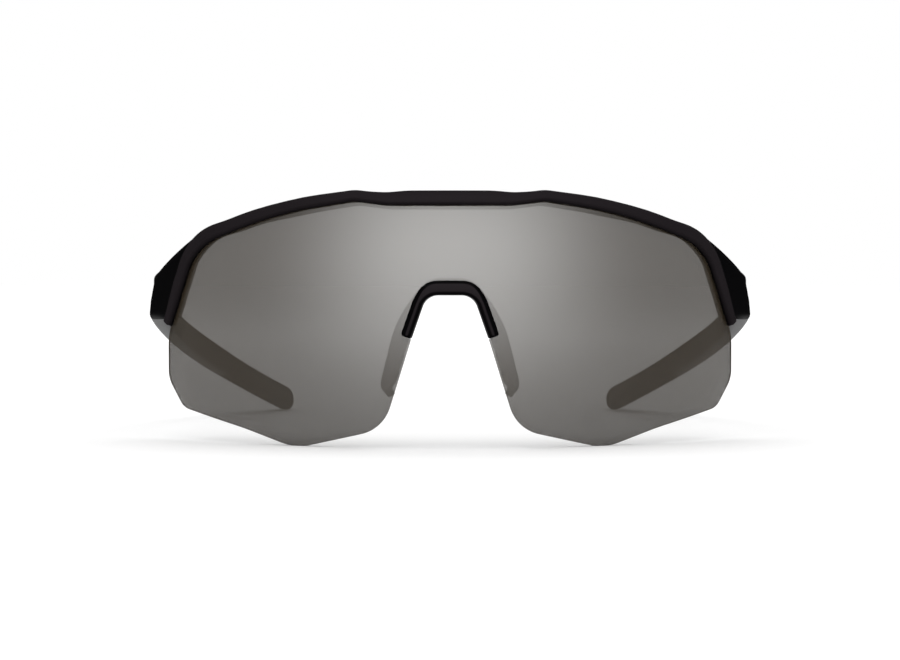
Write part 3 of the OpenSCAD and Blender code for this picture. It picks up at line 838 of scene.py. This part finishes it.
def white_floor():
    """Pale paint with a faint glow that grows with distance; what shines looks through it."""
    material = bpy.data.materials.new("pale_floor")
    material.use_nodes = True
    nodes, links = material.node_tree.nodes, material.node_tree.links
    nodes.clear()
    out = nodes.new("ShaderNodeOutputMaterial")
    paint = nodes.new("ShaderNodeBsdfDiffuse")
    set_sockets(paint, Color=(0.86, 0.86, 0.86, 1))
    glow = nodes.new("ShaderNodeEmission")
    spot = nodes.new("ShaderNodeTexCoord")
    far = nodes.new("ShaderNodeVectorMath")
    far.operation = "LENGTH"
    fade = nodes.new("ShaderNodeMapRange")
    set_sockets(fade, From_Min=0.12, From_Max=0.8, To_Min=0.16, To_Max=0.43)
    links.new(spot.outputs["Object"], far.inputs[0])
    links.new(far.outputs["Value"], fade.inputs["Value"])
    links.new(fade.outputs["Result"], glow.inputs["Strength"])
    path = nodes.new("ShaderNodeLightPath")
    seen_too = nodes.new("ShaderNodeMath")
    seen_too.operation = "MAXIMUM"
    both = nodes.new("ShaderNodeAddShader")
    pick = nodes.new("ShaderNodeMixShader")
    links.new(path.outputs["Is Camera Ray"], seen_too.inputs[0])
    links.new(path.outputs["Is Transmission Ray"], seen_too.inputs[1])
    links.new(paint.outputs[0], both.inputs[0])
    links.new(glow.outputs[0], both.inputs[1])
    # what shines shows the white room below itself, as it does above
    sheen = nodes.new("ShaderNodeMixShader")
    clear = nodes.new("ShaderNodeBsdfTransparent")
    links.new(seen_too.outputs[0], pick.inputs[0])
    links.new(paint.outputs[0], pick.inputs[1])
    links.new(both.outputs[0], pick.inputs[2])
    links.new(path.outputs["Is Glossy Ray"], sheen.inputs[0])
    links.new(pick.outputs[0], sheen.inputs[1])
    links.new(clear.outputs[0], sheen.inputs[2])
    links.new(sheen.outputs[0], out.inputs["Surface"])
    return material


floor.data.materials.append(white_floor())

SOFT_WIDE = math.radians(38)
SOFT_TALL = math.radians(22.5)
SOFT_RISE = math.radians(14)
SOFT_POWER = 6.2
world = bpy.data.worlds.new("studio")
bpy.context.scene.world = world
world.use_nodes = True
w_nodes, w_links = world.node_tree.nodes, world.node_tree.links
w_nodes.clear()
w_out = w_nodes.new("ShaderNodeOutputWorld")
w_seen = w_nodes.new("ShaderNodeBackground")
set_sockets(w_seen, Color=(1, 1, 1, 1))
w_fill = w_nodes.new("ShaderNodeBackground")
set_sockets(w_fill, Color=(1, 1, 1, 1), Strength=0.68)
w_room = w_nodes.new("ShaderNodeBackground")
w_path = w_nodes.new("ShaderNodeLightPath")
w_gloss = w_nodes.new("ShaderNodeMixShader")
w_pick = w_nodes.new("ShaderNodeMixShader")
w_where = w_nodes.new("ShaderNodeTexCoord")
w_split = w_nodes.new("ShaderNodeSeparateXYZ")
w_links.new(w_where.outputs["Generated"], w_split.inputs[0])


def w_math(operation, a, b=0.0):
    node = w_nodes.new("ShaderNodeMath")
    node.operation = operation
    for socket, value in zip(node.inputs, (a, b)):
        if hasattr(value, "node"):
            w_links.new(value, socket)
        else:
            socket.default_value = value
    return node.outputs[0]


def w_ramp(value, low, high, from_value, to_value):
    node = w_nodes.new("ShaderNodeMapRange")
    node.interpolation_type = "SMOOTHSTEP"
    w_links.new(value, node.inputs["Value"])
    set_sockets(node, From_Min=low, From_Max=high, To_Min=from_value, To_Max=to_value)
    return node.outputs["Result"]


# a large soft box stands in front of the glasses, a little above them
w_turn = w_math("ARCTAN2", w_split.outputs["X"], w_math("MULTIPLY", w_split.outputs["Y"], -1))
w_rise = w_math("ARCSINE", w_split.outputs["Z"])
w_across = w_math("POWER", w_math("ABSOLUTE", w_math("DIVIDE", w_turn, SOFT_WIDE)), 2.4)
w_high = w_math("SUBTRACT", w_rise, SOFT_RISE)
w_up = w_math("POWER", w_math("ABSOLUTE", w_math("DIVIDE", w_high, SOFT_TALL)), 2)
w_bell = w_math("EXPONENT", w_math("MULTIPLY", w_math("ADD", w_across, w_up), -0.69))
w_soft_box = w_math("MULTIPLY", w_bell, SOFT_POWER)
# the sides behind the glasses are dark flags, and the white sweep is straight behind
w_flags = w_ramp(w_split.outputs["Y"], 0.25, 0.6, 0.35, 0.05)
w_behind = w_ramp(w_split.outputs["Y"], 0.25, 0.6, 0.0, 0.95)
w_below = w_math("MULTIPLY", w_ramp(w_split.outputs["Z"], -0.25, -0.08, 1.0, 0.0), w_behind)
w_sweep = w_ramp(w_split.outputs["Y"], 0.985, 0.998, 0.0, 0.95)
w_strength = w_math("ADD", w_soft_box, w_math("ADD", w_flags, w_math("MAXIMUM", w_sweep, w_below)))
w_links.new(w_strength, w_room.inputs["Strength"])
w_any = w_math("MAXIMUM", w_path.outputs["Is Camera Ray"], w_path.outputs["Is Transmission Ray"])
w_links.new(w_path.outputs["Is Glossy Ray"], w_gloss.inputs[0])
w_links.new(w_fill.outputs[0], w_gloss.inputs[1])
w_links.new(w_room.outputs[0], w_gloss.inputs[2])
w_links.new(w_any, w_pick.inputs[0])
w_links.new(w_gloss.outputs[0], w_pick.inputs[1])
w_links.new(w_seen.outputs[0], w_pick.inputs[2])
w_links.new(w_pick.outputs[0], w_out.inputs["Surface"])


def soft_light(name, where, towards, wide, tall, power):
    data = bpy.data.lights.new(name, "AREA")
    data.shape = "RECTANGLE"
    data.size, data.size_y, data.energy = wide, tall, power
    lamp = bpy.data.objects.new(name, data)
    lamp.location = where
    lamp.rotation_euler = (Vector(towards) - Vector(where)).to_track_quat("-Z", "Y").to_euler()
    bpy.context.scene.collection.objects.link(lamp)


soft_light("overhead", (0, 0.05, 1.3), (0, 0, 0), 2.2, 1.8, 12.5)
